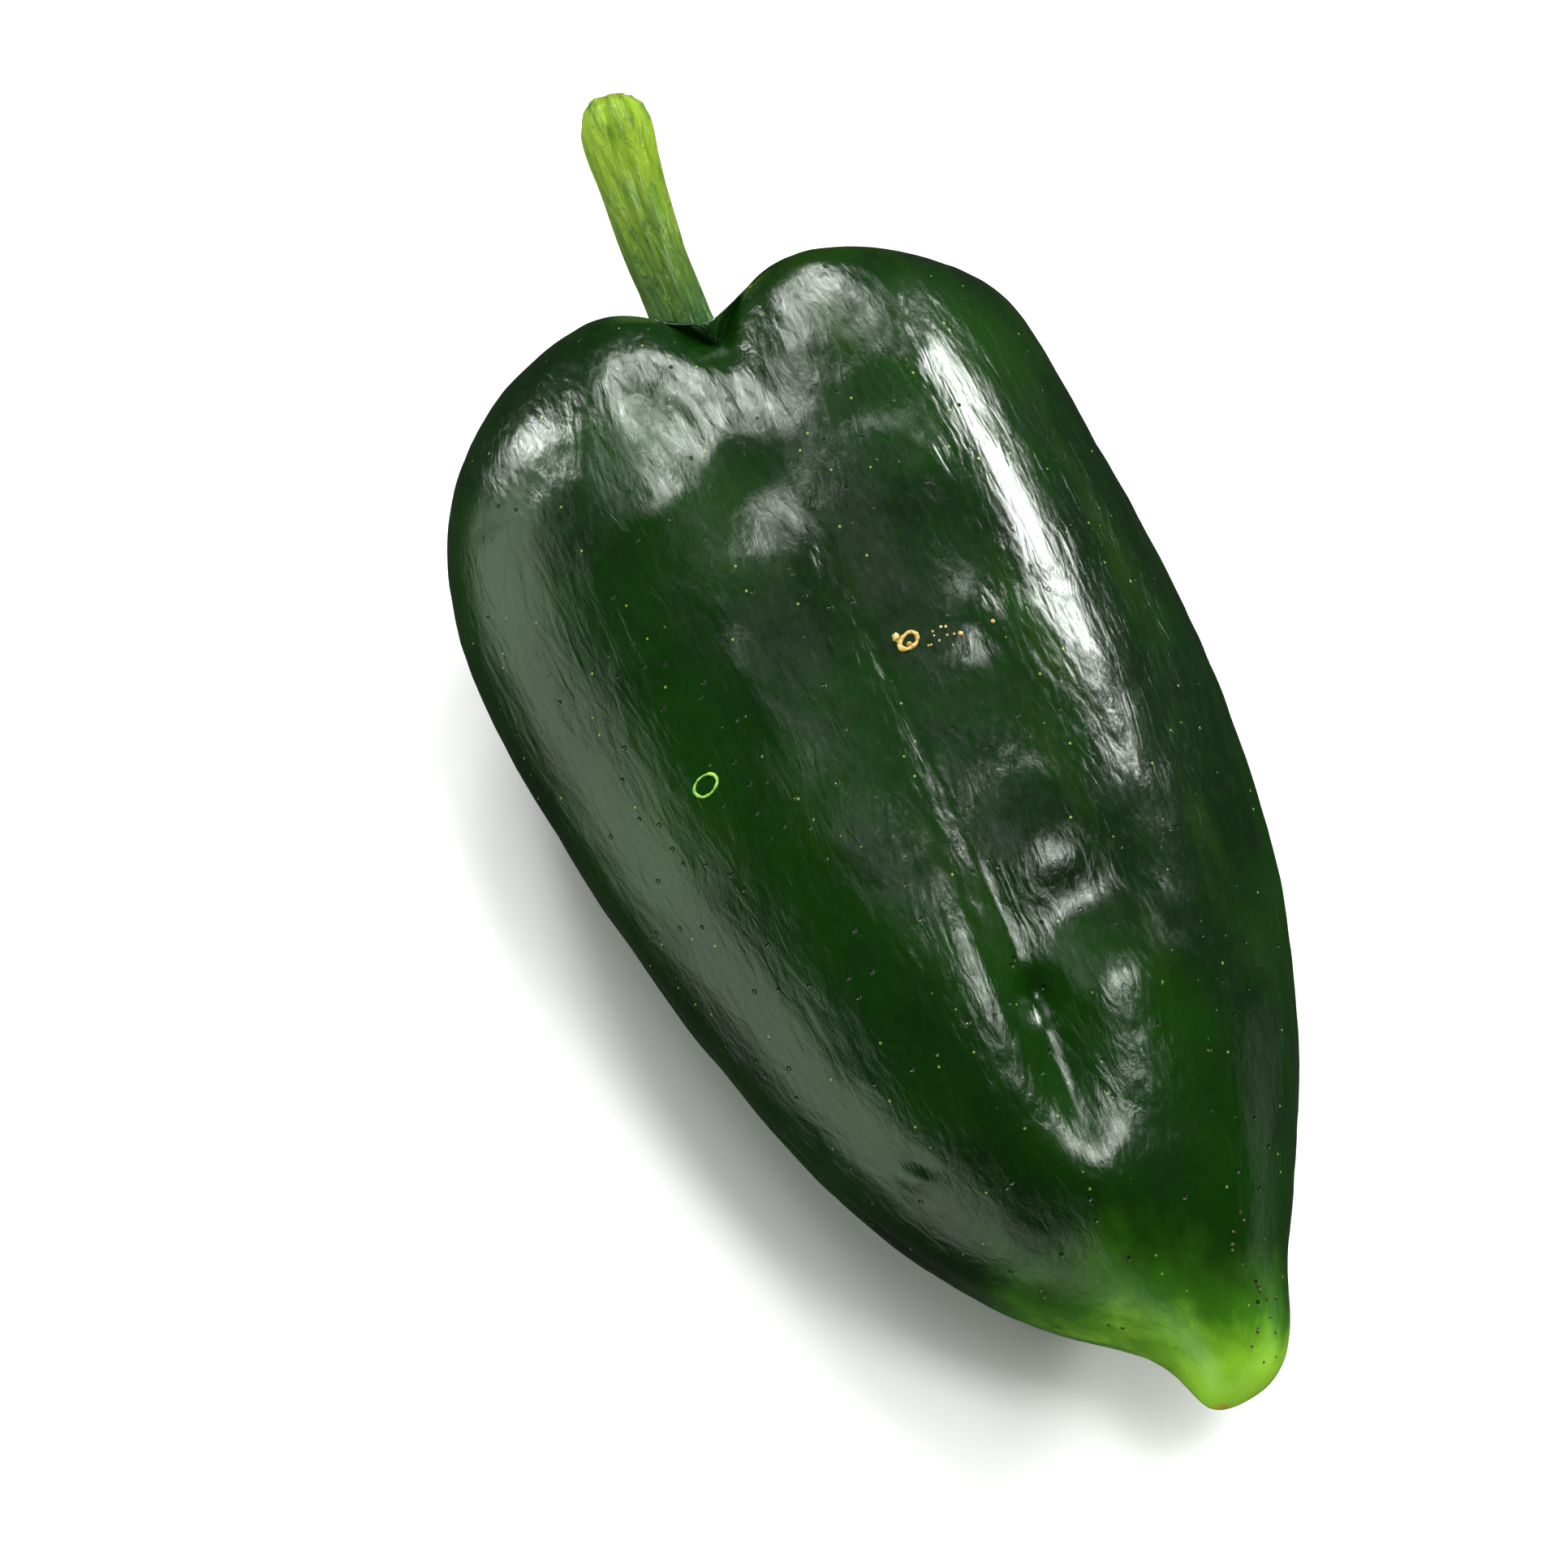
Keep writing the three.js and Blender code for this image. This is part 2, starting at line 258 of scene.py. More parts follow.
def swellings(plain):
    """How far the soft bumps stand proud at points of the plain skin's upper side."""
    height = np.zeros(plain.shape[:-1])
    for x, y, tall, half_width, half_length, turned in SWELLINGS:
        turned = math.radians(turned)
        off_x, off_y = plain[..., 0] - x, plain[..., 1] - y
        across = off_x * math.cos(turned) + off_y * math.sin(turned)
        along = off_y * math.cos(turned) - off_x * math.sin(turned)
        height += tall * np.exp(-((across / half_width) ** 2 + (along / half_length) ** 2))
    return height * (plain[..., 2] > TOP_SIDE)


def pod_skin(s, angle):
    """The finished pod at station numbers s and angles round its core line, in mm."""
    plain = plain_skin(s, angle)
    core = blend(STATIONS, s, closed_ends=True)
    radius = np.hypot(plain[..., 0] - core[..., 1], plain[..., 2] - core[..., 2])
    lift = swellings(plain) - furrows(s, angle, radius)
    return plain + outward(s, angle) * lift[..., None]


BALL_SIDES = 96
BALL_RINGS = 64
FINER = 2

# The underside is pressed flat this deep, a hair above the table, and what stands above the
# crest is lowered by a share of its height.
SEAT_DEPTH = 0.7
SEAT_LIFT = 0.03
CREST = 45.0
CREST_SHARE = 0.15

bpy.ops.object.select_all(action="DESELECT")
bpy.ops.mesh.primitive_uv_sphere_add(segments=BALL_SIDES, ring_count=BALL_RINGS, radius=1.0)
pod = bpy.context.object
pod.name = "pod_skin"
finer = pod.modifiers.new("finer", "SUBSURF")
finer.subdivision_type = "SIMPLE"
finer.levels = finer.render_levels = FINER
bpy.ops.object.modifier_apply(modifier=finer.name)

# Each point of the ball says by its latitude and longitude which point of the skin it is.
ball = np.empty(len(pod.data.vertices) * 3, np.float32)
pod.data.vertices.foreach_get("co", ball)
ball = ball.reshape(-1, 3).astype(float)
ball /= np.linalg.norm(ball, axis=1, keepdims=True)
station = np.arccos(np.clip(ball[:, 2], -1, 1)) / math.pi * LAST_STATION
turn = np.arctan2(-ball[:, 1], ball[:, 0])
skin_mm = pod_skin(station, turn)
drop = skin_mm[:, 2].min() + SEAT_DEPTH
skin_mm[:, 2] -= drop
skin_mm[:, 2] -= CREST_SHARE * np.maximum(skin_mm[:, 2] - CREST, 0.0)
skin_mm[:, 2] = np.maximum(skin_mm[:, 2], SEAT_LIFT)
pod.data.vertices.foreach_set("co", (skin_mm * MM + np.array(HOME)).ravel().astype(np.float32))
pod.data.update()
bpy.ops.object.shade_smooth()

# Lumps and ripples under the skin, from broad to fine: grain size and height in millimetres.
LUMP_LEVEL = 0.72
for name, lump_size, height in (("lumps", 8.0, 0.34), ("ripples", 2.6, 0.12)):
    clouds = bpy.data.textures.new(name, "CLOUDS")
    clouds.noise_scale = lump_size * MM
    clouds.noise_depth = 1
    lumpy = pod.modifiers.new(name, "DISPLACE")
    lumpy.texture = clouds
    lumpy.texture_coords = "LOCAL"
    lumpy.strength = height * MM
    lumpy.mid_level = LUMP_LEVEL
    bpy.ops.object.modifier_apply(modifier=lumpy.name)

# How far each point has ripened to lime green: the tip, most of all on its left.
RIPE_FROM = 47.5
RIPE_OVER = 11.0
RIPE_MIDDLE = 2.0
RIPE_SIDE = 9.0
RIPE_LEAN = 0.05
leftward_of_middle = np.clip(RIPE_MIDDLE - skin_mm[:, 0], -RIPE_SIDE, RIPE_SIDE)
ripeness = (-skin_mm[:, 1] - RIPE_FROM) / RIPE_OVER + leftward_of_middle * RIPE_LEAN
ripe = pod.data.attributes.new("ripe", "FLOAT", "POINT")
ripe.data.foreach_set("value", np.clip(ripeness, -1, 1.5).astype(np.float32))


def add(tree, kind, settings, **sockets):
    """A shader node with its settings, its values, and its links to other nodes' outputs."""
    node = tree.nodes.new(kind)
    for name, value in settings.items():
        setattr(node, name, value)
    for name, value in sockets.items():
        socket = node.inputs[name.replace("_", " ")]
        if isinstance(value, bpy.types.NodeSocket):
            tree.links.new(value, socket)
        else:
            socket.default_value = value
    return node


def grain(tree, place, scale, detail=2.0, roughness=0.5, twist=0.0):
    """Noise of so many grains to the metre."""
    return add(
        tree, "ShaderNodeTexNoise", {}, Vector=place, Scale=scale, Detail=detail,
        Roughness=roughness, Distortion=twist,
    ).outputs["Fac"]


def between(tree, value, low, high, start=0.0, end=1.0):
    """A soft step from start to end as the value goes from low to high."""
    step = add(tree, "ShaderNodeMapRange", {"interpolation_type": "SMOOTHSTEP"}, Value=value)
    for name, number in (("From Min", low), ("From Max", high), ("To Min", start), ("To Max", end)):
        step.inputs[name].default_value = number
    return step.outputs["Result"]


def sum_of(tree, first, second, operation="ADD"):
    """The sum, or another simple reckoning, of two values."""
    node = tree.nodes.new("ShaderNodeMath")
    node.operation = operation
    for socket, value in zip(node.inputs, (first, second)):
        if isinstance(value, bpy.types.NodeSocket):
            tree.links.new(value, socket)
        else:
            socket.default_value = value
    return node.outputs["Value"]


def mixed(tree, share, first, second):
    """One colour over another."""
    node = tree.nodes.new("ShaderNodeMix")
    node.data_type = "RGBA"
    for number, value in ((0, share), (6, first), (7, second)):
        socket = node.inputs[number]
        if isinstance(value, bpy.types.NodeSocket):
            tree.links.new(value, socket)
        else:
            socket.default_value = value if number == 0 else (*value, 1)
    return node.outputs[2]


def dots(tree, place, scale, radius, rarity):
    """Scattered dots: 1 in the middle of each; radius in cells, rarity from 0 to 1."""
    cells = add(tree, "ShaderNodeTexVoronoi", {}, Vector=place, Scale=scale)
    chance = add(tree, "ShaderNodeSeparateColor", {}, Color=cells.outputs["Color"])
    near = between(tree, cells.outputs["Distance"], radius * 0.5, radius, 1.0, 0.0)
    chosen = sum_of(tree, chance.outputs["Red"], rarity, "GREATER_THAN")
    return sum_of(tree, near, chosen, "MULTIPLY")


def read(tree, name):
    """A value laid on the piece's points."""
    node = tree.nodes.new("ShaderNodeAttribute")
    node.attribute_name = name
    return node.outputs["Fac"]


skin = bpy.data.materials.new("pepper_skin")
skin.use_nodes = True
tree = skin.node_tree
shader = tree.nodes["Principled BSDF"]
place = tree.nodes.new("ShaderNodeTexCoord").outputs["Object"]
lengthwise = add(tree, "ShaderNodeMapping", {}, Vector=place, Scale=(1, 0.22, 1)).outputs["Vector"]
slanting = add(tree, "ShaderNodeMapping", {}, Vector=place, Rotation=(0.3, 0.2, 0.5), Scale=(1, 0.4, 1))

blotches = between(tree, grain(tree, place, 40, 3), 0.38, 0.66)
colour = mixed(tree, blotches, (0.0010, 0.0085, 0.0008), (0.0025, 0.0235, 0.0004))
warm = between(tree, grain(tree, lengthwise, 150, 4, 0.6), 0.48, 0.80, 0.0, 0.65)
colour = mixed(tree, warm, colour, (0.0090, 0.0290, 0.0006))
cool = between(tree, grain(tree, lengthwise, 90, 3), 0.52, 0.78, 0.0, 0.6)
colour = mixed(tree, cool, colour, (0.0015, 0.0110, 0.0028))
mottle = between(tree, grain(tree, place, 700, 5, 0.65), 0.45, 0.75, 0.0, 0.4)
colour = mixed(tree, mottle, colour, (0.0040, 0.0260, 0.0008))

uneven = between(tree, grain(tree, lengthwise, 120, 5, 0.6), 0.3, 0.7, -0.22, 0.22)
ripeness_here = sum_of(tree, read(tree, "ripe"), uneven)
colour = mixed(tree, between(tree, ripeness_here, -0.35, 0.75), colour, (0.040, 0.150, 0.0060))
colour = mixed(tree, between(tree, ripeness_here, 0.35, 1.15), colour, (0.270, 0.560, 0.0250))
colour = mixed(tree, between(tree, ripeness_here, 1.18, 1.34), colour, (0.420, 0.330, 0.0200))

specks = dots(tree, place, 560, 0.10, 0.50)
colour = mixed(tree, sum_of(tree, specks, 0.75, "MULTIPLY"), colour, (0.210, 0.290, 0.0500))
# Pits: sunk by the bump further down, and darkened in colour as painted shade in each pit.
pits_and_painted_shade = dots(tree, place, 480, 0.14, 0.52)
colour = mixed(tree, sum_of(tree, pits_and_painted_shade, 0.85, "MULTIPLY"), colour, (0.004, 0.010, 0.0020))
tree.links.new(colour, shader.inputs["Base Color"])

wrinkles = grain(tree, slanting.outputs["Vector"], 1300, 7, 0.68, 0.6)
puckers = grain(tree, lengthwise, 620, 3, 0.5, 1.0)
fine = add(tree, "ShaderNodeBump", {}, Strength=1.0, Distance=0.000045, Height=wrinkles)
broad = add(
    tree, "ShaderNodeBump", {}, Strength=1.0, Distance=0.0001, Height=puckers,
    Normal=fine.outputs["Normal"],
)
pitted = add(
    tree, "ShaderNodeBump", {"invert": True}, Strength=1.0, Distance=0.00025, Height=pits_and_painted_shade,
    Normal=broad.outputs["Normal"],
)
tree.links.new(pitted.outputs["Normal"], shader.inputs["Normal"])
tree.links.new(between(tree, wrinkles, 0.35, 0.7, 0.11, 0.20), shader.inputs["Roughness"])
tree.links.new(pitted.outputs["Normal"], shader.inputs["Coat Normal"])
shader.inputs["Specular IOR Level"].default_value = 0.5
shader.inputs["Specular Tint"].default_value = (0.95, 1.0, 0.94, 1)
shader.inputs["Coat Weight"].default_value = 0.12
shader.inputs["Coat Roughness"].default_value = 0.32
pod.data.materials.append(skin)

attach(pod, "root")
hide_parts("pod")


# ---- The fleck -----------------------------------------------------------------------------
# A tan crust, no bigger than a grain of rice, dried onto the skin in a torn ring, with a
# trail of pale crumbs beside it.

WELL_ABOVE = 80.0


def on_skin(x, y):
    """The place and the outward direction of the skin's upper side above a spot, x and y in mm."""
    start = HOME + Vector((x, y, WELL_ABOVE)) * MM
    hit, spot, normal, _ = pod.ray_cast(start, Vector((0, 0, -1)))
    return spot, normal


def ring_on_skin(name, x, y, long, wide, thick):
    """A thin closed ring, half sunk in the skin."""
    spot, normal = on_skin(x, y)
    bpy.ops.object.select_all(action="DESELECT")
    bpy.ops.mesh.primitive_torus_add(
        major_segments=64, minor_segments=12, major_radius=long * MM, minor_radius=thick * MM
    )
    ring = bpy.context.object
    ring.name = name
    bpy.ops.object.mode_set(mode="EDIT")
    bpy.ops.mesh.select_all(action="SELECT")
    bpy.ops.transform.resize(value=(wide / long, 1, 0.7))
    bpy.ops.object.mode_set(mode="OBJECT")
    ring.rotation_mode = "QUATERNION"
    ring.rotation_quaternion = normal.to_track_quat("Z", "Y")
    ring.location = spot
    bpy.ops.object.transform_apply(location=True, rotation=True, scale=True)
    rough = bpy.data.textures.new(name, "CLOUDS")
    rough.noise_scale = 0.7 * MM
    torn = ring.modifiers.new("torn", "DISPLACE")
    torn.texture = rough
    torn.texture_coords = "LOCAL"
    torn.strength = thick * 1.5 * MM
    bpy.ops.object.modifier_apply(modifier=torn.name)
    bpy.ops.object.shade_smooth()
    return ring


def spotted(name, first, second, scale, roughness):
    """A two-toned, finely bumped matt material."""
    made = bpy.data.materials.new(name)
    made.use_nodes = True
    tree = made.node_tree
    shader = tree.nodes["Principled BSDF"]
    place = tree.nodes.new("ShaderNodeTexCoord").outputs["Object"]
    patches = grain(tree, place, scale, 4, 0.6)
    colour = mixed(tree, between(tree, patches, 0.40, 0.62), first, second)
    tree.links.new(colour, shader.inputs["Base Color"])
    bumpy = add(tree, "ShaderNodeBump", {}, Strength=1.0, Distance=0.0001, Height=patches)
    tree.links.new(bumpy.outputs["Normal"], shader.inputs["Normal"])
    shader.inputs["Roughness"].default_value = roughness
    return made


def ragged_lump(name, x, y, size, coarse, torn, level):
    """A ragged lump the size of a grain, sunk halfway into the skin at a spot in mm."""
    spot = on_skin(x, y)[0]
    bpy.ops.object.select_all(action="DESELECT")
    bpy.ops.mesh.primitive_ico_sphere_add(subdivisions=3, radius=size * MM, location=spot)
    lump = bpy.context.object
    lump.name = name
    bpy.ops.object.transform_apply(location=True, rotation=True, scale=True)
    rough = bpy.data.textures.new(name, "CLOUDS")
    rough.noise_scale = coarse * MM
    ragged = lump.modifiers.new("ragged", "DISPLACE")
    ragged.texture = rough
    ragged.texture_coords = "LOCAL"
    ragged.strength = size * torn * MM
    ragged.mid_level = level
    bpy.ops.object.modifier_apply(modifier=ragged.name)
    bpy.ops.object.shade_smooth()
    return lump


def joined(pieces):
    """Several pieces as one, which keeps the name of the first."""
    bpy.ops.object.select_all(action="DESELECT")
    for piece in pieces:
        piece.select_set(True)
    bpy.context.view_layer.objects.active = pieces[0]
    bpy.ops.object.join()
    return pieces[0]


TRAIL_CRUMBS = 9
TRAIL_START = 2.3
TRAIL_STEP = 0.3
TRAIL_MIDDLE = 14.6
CRUMB_RAGGEDNESS = (0.4, 1.2, 0.5)
strewn = random.Random(4)
crust = [ring_on_skin("fleck", 0.6, 15.2, 1.0, 0.72, 0.24)]
for x, y, size in ((-0.4, 16.0, 0.42), (0.5, 14.9, 0.26), (5.5, 13.7, 0.24), (9.0, 13.8, 0.22)):
    crust.append(ragged_lump("crumb", x, y, size, *CRUMB_RAGGEDNESS))
for number in range(TRAIL_CRUMBS):
    x = TRAIL_START + TRAIL_STEP * number + strewn.uniform(-0.25, 0.25)
    y = TRAIL_MIDDLE + strewn.uniform(-0.8, 0.8)
    crust.append(ragged_lump("crumb", x, y, strewn.uniform(0.10, 0.14), *CRUMB_RAGGEDNESS))
fleck = joined(crust)
TAN = (0.42, 0.22, 0.03)
STRAW = (0.58, 0.46, 0.18)
fleck.data.materials.append(spotted("dried_crust", TAN, STRAW, 2500, 0.6))
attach(fleck, "root")


# ---- The scar ------------------------------------------------------------------------------
# A healed nick on the left of the pod: the skin has closed over it and left a thin outline,
# lime-coloured, corky and barely raised.

LIME = (0.13, 0.36, 0.02)
PALE_LIME = (0.30, 0.52, 0.08)
scar = ring_on_skin("scar", -22.9, 10.5, 1.35, 0.95, 0.17)
scar.data.materials.append(spotted("scar_lime", LIME, PALE_LIME, 1500, 0.5))
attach(scar, "root")


# ---- The warts -----------------------------------------------------------------------------
# Tiny corky pimples that grew in the skin, strewn over the right side of the tip: dark, dull
# and less than half a millimetre across.

WART_COUNT = 20
WARTS_FROM = -46.5
WARTS_LENGTH = 13.5
WARTS_MIDDLE = 8.7
WARTS_INWARD = 3.7
WARTS_SPREAD = 2.6
WART_RAGGEDNESS = (0.3, 0.8, 0.7)
CORK_DARK = (0.006, 0.014, 0.004)
CORK_PALE = (0.090, 0.100, 0.030)
strewn = random.Random(11)
pimples = []
for number in range(WART_COUNT):
    down = number / WART_COUNT
    x = WARTS_MIDDLE - WARTS_INWARD * down**2
    x += strewn.uniform(-WARTS_SPREAD, WARTS_SPREAD) * (1 - 0.4 * down)
    y = WARTS_FROM - WARTS_LENGTH * down + strewn.uniform(-0.6, 0.6)
    pimples.append(ragged_lump("warts", x, y, strewn.uniform(0.14, 0.24), *WART_RAGGEDNESS))
warts = joined(pimples)
warts.data.materials.append(spotted("wart_cork", CORK_DARK, CORK_PALE, 3500, 0.35))
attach(warts, "root")


# ---- The calyx ---------------------------------------------------------------------------
# The green saucer in the hollow of the crown, grown together with the pod and the stem: five
# blunt corners, a rounded rim and raised veins that run out to it. Dull and fibrous.

CALYX_GAP = 0.3
CALYX_THICKNESS = 1.1
CALYX_REACH = 1.55
CALYX_CORNERS = 5
CALYX_CORNER_DEPTH = 0.1
CALYX_RIM_START = 0.9
VEIN_HEIGHT = 0.14


def ball_piece(name, sides, rings):
    """A ball whose points say, by latitude and longitude, which point of a skin they are."""
    bpy.ops.object.select_all(action="DESELECT")
    bpy.ops.mesh.primitive_uv_sphere_add(segments=sides, ring_count=rings, radius=1.0)
    piece = bpy.context.object
    piece.name = name
    co = np.array([vertex.co for vertex in piece.data.vertices], float)
    return piece, np.arccos(np.clip(co[:, 2], -1, 1)) / math.pi, np.arctan2(-co[:, 1], co[:, 0])


def lay(piece, skin_points):
    """Moves a piece's points to places given in millimetres from the pepper's zero."""
    points = skin_points * MM + np.array(HOME) - (0, 0, drop * MM)
    piece.data.vertices.foreach_set("co", points.ravel().astype(np.float32))
    piece.data.update()
    bpy.ops.object.shade_smooth()


calyx, share, turn = ball_piece("calyx_leaf", 160, 48)
upper = share < 0.5
out = np.where(upper, share, 1 - share) * 2
corner = 1 - CALYX_CORNER_DEPTH * (1 - np.cos(CALYX_CORNERS * turn)) / 2
past_rim = np.maximum(out - CALYX_RIM_START, 0) / (1 - CALYX_RIM_START)
rounding = np.sqrt(np.maximum(1 - past_rim**2, 0))
vein = VEIN_HEIGHT * np.maximum(np.cos(CALYX_CORNERS * 2 * turn), 0) ** 4 * np.sin(math.pi * out)
half = CALYX_THICKNESS / 2 * rounding
rise = CALYX_GAP + CALYX_THICKNESS / 2 + np.where(upper, half * (1 - vein), -half)
station_out = CALYX_REACH * out * corner
plain = plain_skin(station_out, turn)
core = blend(STATIONS, station_out, closed_ends=True)
radius = np.hypot(plain[:, 0] - core[:, 1], plain[:, 2] - core[:, 2])
rise -= furrows(station_out, turn, radius)
lay(calyx, plain + outward(station_out, turn) * rise[:, None])

leafy = bpy.data.materials.new("calyx_green")
leafy.use_nodes = True
tree = leafy.node_tree
shader = tree.nodes["Principled BSDF"]
place = tree.nodes.new("ShaderNodeTexCoord").outputs["Object"]
patchy = between(tree, grain(tree, place, 300, 4, 0.6), 0.35, 0.7)
colour = mixed(tree, patchy, (0.035, 0.110, 0.010), (0.130, 0.260, 0.030))
colour = mixed(tree, dots(tree, place, 900, 0.25, 0.5), colour, (0.045, 0.050, 0.012))
tree.links.new(colour, shader.inputs["Base Color"])
fibres = grain(tree, place, 1500, 5, 0.6)
bumpy = add(tree, "ShaderNodeBump", {}, Strength=1.0, Distance=0.0001, Height=fibres)
tree.links.new(bumpy.outputs["Normal"], shader.inputs["Normal"])
shader.inputs["Roughness"].default_value = 0.55
calyx.data.materials.append(leafy)

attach(calyx, "root")
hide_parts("calyx")


# ---- The stem ----------------------------------------------------------------------------
# The cut stalk, grown out of the calyx: it leans up and curves a little, with lengthwise
# ribs and pale fibres, and flares to a cut end with a browned rim and a sunken pith.

# The middle line sets out from the root, runs on, and bends by the square of the way gone.
# The radii: share of its length and radius, root first.
STEM_ROOT = np.array((-1.3, 46.3, 25.5))
STEM_RUN = np.array((-6.3, 43.0, 6.0))
STEM_BEND = np.array((7.0, 0.0, 2.4))
STEM_RADII = (
    (0, 4.6), (0.1, 3.5), (0.25, 3.1), (0.5, 3.1), (0.75, 3.45), (0.93, 3.8), (0.97, 3.35), (1, 2.3)
)
STEM_RIBS = 5
STEM_RIB_HEIGHT = 0.16
ROOT_CAP = 0.05
CUT_FACE = 0.88
PITH_DEPTH = 0.7

stem, share, turn = ball_piece("stem_stalk", 120, 150)
along = np.clip((share - ROOT_CAP) / (CUT_FACE - ROOT_CAP), 0, 1)
spread = np.minimum(np.clip(share / ROOT_CAP, 0, 1), np.clip((1 - share) / (1 - CUT_FACE), 0, 1))
centre = STEM_ROOT + STEM_RUN * along[:, None] + STEM_BEND * along[:, None] ** 2
ahead = STEM_RUN + 2 * STEM_BEND * along[:, None]
ahead /= np.linalg.norm(ahead, axis=1, keepdims=True)
downward = np.cross(ahead, (1.0, 0.0, 0.0))
downward /= np.linalg.norm(downward, axis=1, keepdims=True)
across = np.cross(downward, ahead)
knots, widths = np.array(STEM_RADII).T
knot = np.clip(np.searchsorted(knots, along), 1, len(knots) - 1)
step = (along - knots[knot - 1]) / (knots[knot] - knots[knot - 1])
reach = widths[knot - 1] + (widths[knot] - widths[knot - 1]) * step**2 * (3 - 2 * step)
reach += STEM_RIB_HEIGHT * np.cos(STEM_RIBS * turn)
fibre = 0.10 * np.cos(9 * turn + 2.5 * np.sin(7 * along)) + 0.07 * np.cos(17 * turn - 4 * along**2)
fibre += 0.06 * np.cos(29 * turn + 3 * np.sin(9 * along + 1))
reach += fibre * np.clip(along * 8, 0, 1) - 0.12
reach *= np.where(spread < 1, spread, 1.0)
sunk = PITH_DEPTH * np.where(share > CUT_FACE, 1 - np.clip(spread / 0.8, 0, 1) ** 3, 0)
stem_points = centre + across * (reach * np.cos(turn))[:, None]
stem_points += downward * (reach * np.sin(turn))[:, None] - ahead * sunk[:, None]
lay(stem, stem_points)
cut = stem.data.attributes.new("cut", "FLOAT", "POINT")
cut.data.foreach_set("value", np.clip((share - CUT_FACE + 0.02) / 0.04, 0, 1).astype(np.float32))
pith = stem.data.attributes.new("pith", "FLOAT", "POINT")
pith.data.foreach_set("value", np.where(share > CUT_FACE, 1 - spread, 0).astype(np.float32))
youth = stem.data.attributes.new("toward_cut", "FLOAT", "POINT")
youth.data.foreach_set("value", along.astype(np.float32))

stalk = bpy.data.materials.new("stem_green")
stalk.use_nodes = True
tree = stalk.node_tree
shader = tree.nodes["Principled BSDF"]
place = tree.nodes.new("ShaderNodeTexCoord").outputs["Object"]
drawn = add(tree, "ShaderNodeMapping", {}, Vector=place, Rotation=(0.15, 0, 0), Scale=(1, 0.09, 1))
drawn = drawn.outputs["Vector"]


young = between(tree, read(tree, "toward_cut"), 0.35, 1.0)
colour = mixed(tree, young, (0.008, 0.060, 0.003), (0.250, 0.400, 0.006))
streaks = between(tree, grain(tree, drawn, 900, 4, 0.6), 0.45, 0.70)
colour = mixed(tree, sum_of(tree, streaks, 0.8, "MULTIPLY"), colour, (0.040, 0.140, 0.003))
pale = between(tree, grain(tree, drawn, 1400, 5, 0.7, 0.6), 0.56, 0.70, 0.0, 0.75)
colour = mixed(tree, pale, colour, (0.210, 0.400, 0.060))
dark = between(tree, grain(tree, drawn, 1500, 6, 0.7, 1.2), 0.54, 0.62, 0.0, 0.9)
dark = sum_of(tree, dark, between(tree, read(tree, "toward_cut"), 0.45, 0.9, 1.0, 0.25), "MULTIPLY")
colour = mixed(tree, dark, colour, (0.006, 0.045, 0.003))
ends = between(tree, read(tree, "cut"), 0.0, 1.0)
colour = mixed(tree, ends, colour, (0.130, 0.075, 0.020))
colour = mixed(tree, between(tree, read(tree, "pith"), 0.15, 0.45), colour, (0.300, 0.420, 0.120))
tree.links.new(colour, shader.inputs["Base Color"])
ridges = grain(tree, drawn, 900, 7, 0.7, 0.8)
crusty = grain(tree, place, 2600, 4, 0.6)
lines = add(tree, "ShaderNodeBump", {}, Strength=1.0, Distance=0.0011, Height=ridges)
crust = add(
    tree, "ShaderNodeBump", {}, Strength=1.0, Distance=0.0001, Height=crusty,
    Normal=lines.outputs["Normal"],
)
tree.links.new(crust.outputs["Normal"], shader.inputs["Normal"])
shader.inputs["Roughness"].default_value = 0.26
shader.inputs["Specular IOR Level"].default_value = 0.4
stem.data.materials.append(stalk)

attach(stem, "root")
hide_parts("stem")


# ---- The table ---------------------------------------------------------------------------
# A plain matt white top that the pepper lies on. It takes the shadow and doesn't show in the
# pepper's gloss.

bpy.ops.object.select_all(action="DESELECT")
bpy.ops.mesh.primitive_plane_add(size=4.0)
table = bpy.context.object
table.name = "table"
white = bpy.data.materials.new("table_white")
white.use_nodes = True
sheet = white.node_tree.nodes["Principled BSDF"]
sheet.inputs["Base Color"].default_value = (0.9, 0.9, 0.9, 1)
sheet.inputs["Roughness"].default_value = 0.9
sheet.inputs["Specular IOR Level"].default_value = 0.0
table.data.materials.append(white)
table.visible_glossy = False


# ---- The camera --------------------------------------------------------------------------
# It stands at the tip's side, a long lens high above the table, and looks down on the pepper
# with the stem end away from it.

CAMERA_TURN = math.radians(-23.4)
CAMERA_HEIGHT = math.radians(68.0)
LENS = 110.0
SENSOR = 36.0
VIEW_WIDTH = 155.8
AIM_HEIGHT = 30.0
AIM_RIGHT = -17.6
AIM_UP = 5.3

back = Vector(
    (
        math.sin(CAMERA_TURN) * math.cos(CAMERA_HEIGHT),
        -math.cos(CAMERA_TURN) * math.cos(CAMERA_HEIGHT),
        math.sin(CAMERA_HEIGHT),
    )
)
right = Vector((math.cos(CAMERA_TURN), math.sin(CAMERA_TURN), 0))
aim = HOME + Vector((0, 0, AIM_HEIGHT * MM))
aim += right * AIM_RIGHT * MM + back.cross(right) * AIM_UP * MM
bpy.ops.object.camera_add(location=aim + back * (LENS / SENSOR * VIEW_WIDTH * MM))
camera = bpy.context.object
camera.rotation_mode = "QUATERNION"
camera.rotation_quaternion = (-back).to_track_quat("-Z", "Y")
camera.data.lens = LENS
camera.data.sensor_width = SENSOR
bpy.context.scene.camera = camera


# ---- The lights --------------------------------------------------------------------------
# Soft boxes round and above the pepper, each with its gleam on one lobe, and one broad fill
# that gives the shadow and doesn't show in the gloss. The room is dim.

SOFTBOX_DISTANCE = 0.9


